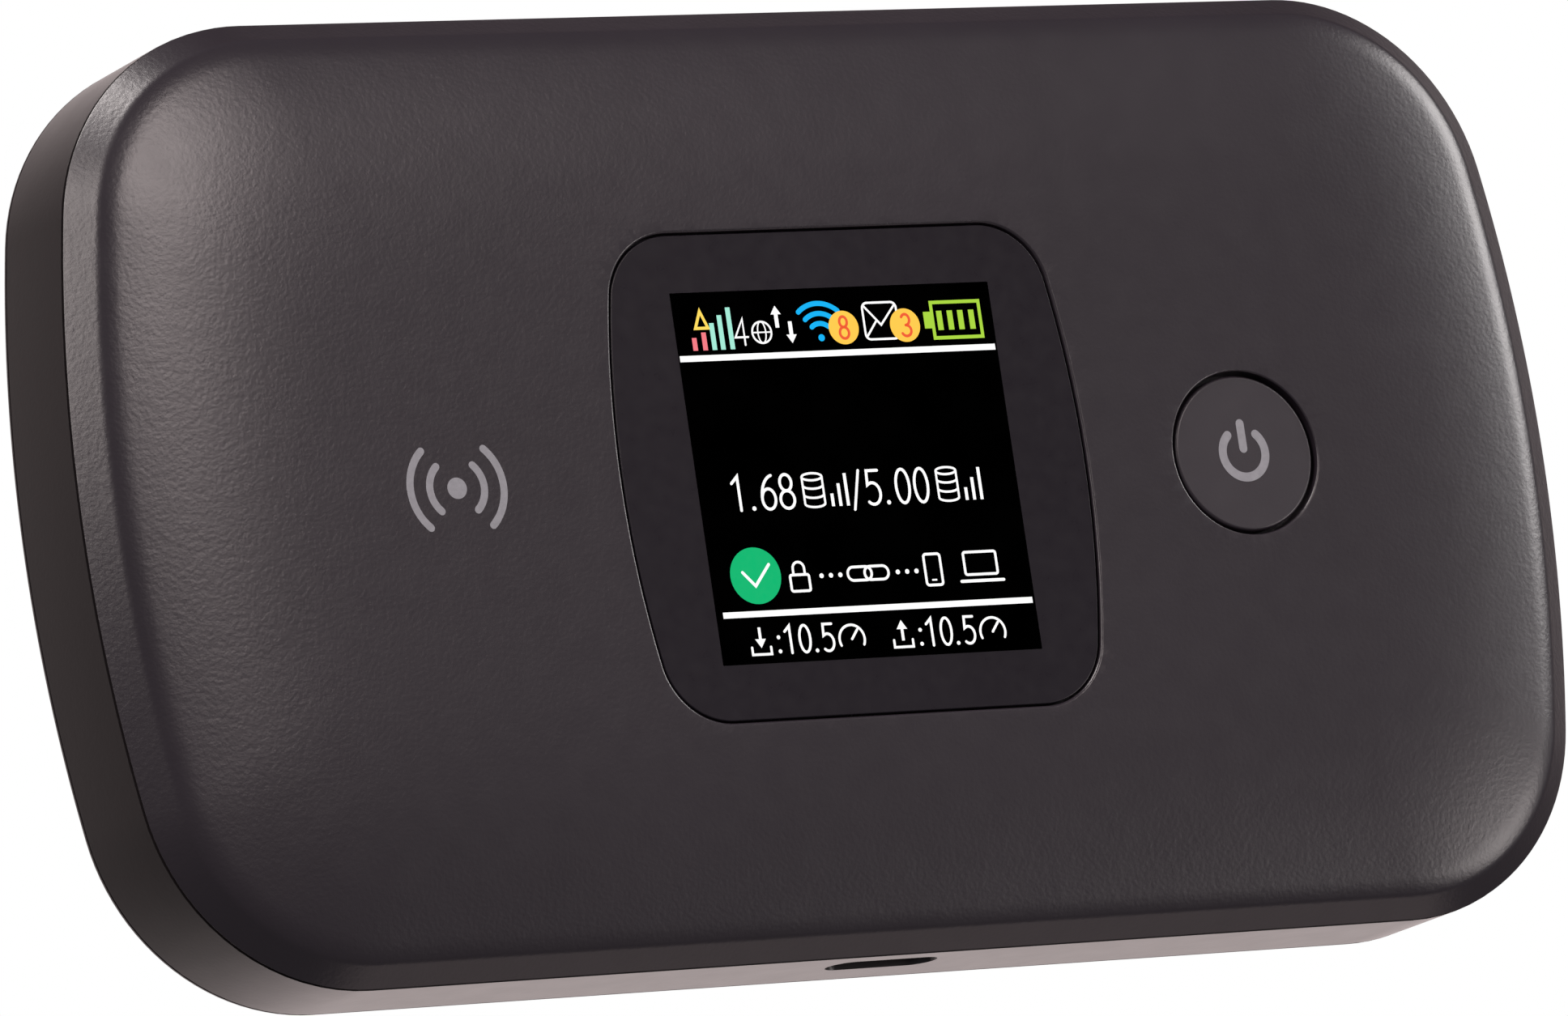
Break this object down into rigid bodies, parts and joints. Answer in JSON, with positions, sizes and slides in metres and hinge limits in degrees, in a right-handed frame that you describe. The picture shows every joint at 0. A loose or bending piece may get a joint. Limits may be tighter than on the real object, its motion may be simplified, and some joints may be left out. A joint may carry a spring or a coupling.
{
  "type": "mobile hotspot",
  "caption": "Handheld wireless router: pillow-shaped front cover with a barrel-shaped display lens and a round power button, removable rear cover and battery, SIM socket and USB port.",
  "frame": {"origin": "middle of the battery cover's outer face, which is what the device lies on", "axes": "+X along the long side towards the power button, +Y towards the top of the display, +Z out of the display"},
  "size_m": [0.1172, 0.0672, 0.0132],
  "materials": {
    "cover_plastic": "fine-textured matte",
    "button_plastic": "fine-textured matte",
    "housing_plastic": "fine-textured matte",
    "back_plastic": "fine-textured matte",
    "lens_plastic": "satin hard-coated, printed from behind",
    "icon_ink": "satin light grey",
    "adhesive": "black tape",
    "foam": "closed-cell foam",
    "screen_glass": "polished",
    "light_guide": "white diffuser stack",
    "tinned_steel": "tinned sheet",
    "screw_steel": "blackened zinc",
    "gold": "gold-plated",
    "copper": "plated copper trace",
    "board": "solder mask",
    "chip_plastic": "moulded package",
    "ferrite": "ferrite",
    "ceramic": "fired ceramic",
    "flex_film": "polyimide film",
    "connector_plastic": "moulded",
    "dark_plastic": "moulded",
    "silicone": "soft",
    "thermal_gel": "soft",
    "card_plastic": "printed card",
    "battery_wrap": "shrink wrap",
    "label_film": "blank satin film"
  },
  "bodies": {
    "housing": {"front_cover": "cover_plastic", "display_lens": "lens_plastic", "lens_adhesive": "adhesive", "display_gasket": "foam", "lcd_glass": "screen_glass", "lcd_backlight": "light_guide", "lcd_frame": "tinned_steel", "lcd_flex": "flex_film", "lcd_connector": "connector_plastic", "power_switch": "tinned_steel", "main_board": "board", "baseband_chip": "chip_plastic", "memory_chip": "chip_plastic", "power_chip": "chip_plastic", "power_inductors": "ferrite", "rf_chip": "chip_plastic", "rf_amplifier": "chip_plastic", "wifi_chip": "chip_plastic", "board_capacitors": "ceramic", "baseband_shield": "tinned_steel", "rf_shield": "tinned_steel", "wifi_shield": "tinned_steel", "thermal_pad": "thermal_gel", "usb_receptacle": "tinned_steel", "usb_tongue": "dark_plastic", "sim_socket": "tinned_steel", "sim_contacts": "gold", "battery_connector": "dark_plastic", "battery_contacts": "gold", "main_antenna_carrier": "dark_plastic", "main_antenna": "copper", "diversity_antenna_carrier": "dark_plastic", "diversity_antenna": "copper", "wifi_antenna": "gold", "antenna_springs": "gold", "rear_housing": "housing_plastic", "housing_screws": "screw_steel", "board_screws": "screw_steel", "reset_switch": "tinned_steel"},
    "button": {"power_button": "button_plastic", "power_icon": "icon_ink", "button_pad": "silicone"},
    "switch_plunger": {"power_switch_plunger": "dark_plastic"},
    "battery": {"battery_pack": "battery_wrap", "battery_terminals": "gold", "battery_label": "label_film"},
    "rear_cover": {"back_cover": "back_plastic"},
    "sim": {"sim_card": "card_plastic"},
    "reset_pin": {"reset_plunger": "dark_plastic"}
  },
  "joints": [
    {"name": "power_press", "type": "slide", "parent": "housing", "child": "button", "axis": [0, 0, -1], "range_m": [0, 0.0003], "stiffness_N_per_m": 1500},
    {"name": "switch_press", "type": "slide", "parent": "housing", "child": "switch_plunger", "axis": [0, 0, -1], "range_m": [0, 0.0003]},
    {"name": "battery_lift", "type": "slide", "parent": "housing", "child": "battery", "axis": [0, 0, -1], "range_m": [0, 0.015]},
    {"name": "cover_lift", "type": "slide", "parent": "housing", "child": "rear_cover", "axis": [0, 0, -1], "range_m": [0, 0.03]},
    {"name": "sim_slide", "type": "slide", "parent": "housing", "child": "sim", "axis": [0, -1, 0], "range_m": [0, 0.0124]},
    {"name": "reset_press", "type": "slide", "parent": "housing", "child": "reset_pin", "axis": [0, 0, 1], "range_m": [0, 0.0002], "stiffness_N_per_m": 1500}
  ],
  "couplings": [
    {"joint": "switch_press", "follows": "power_press", "ratio": 1},
    {"joint": "cover_lift", "follows": "battery_lift", "ratio": 2}
  ]
}
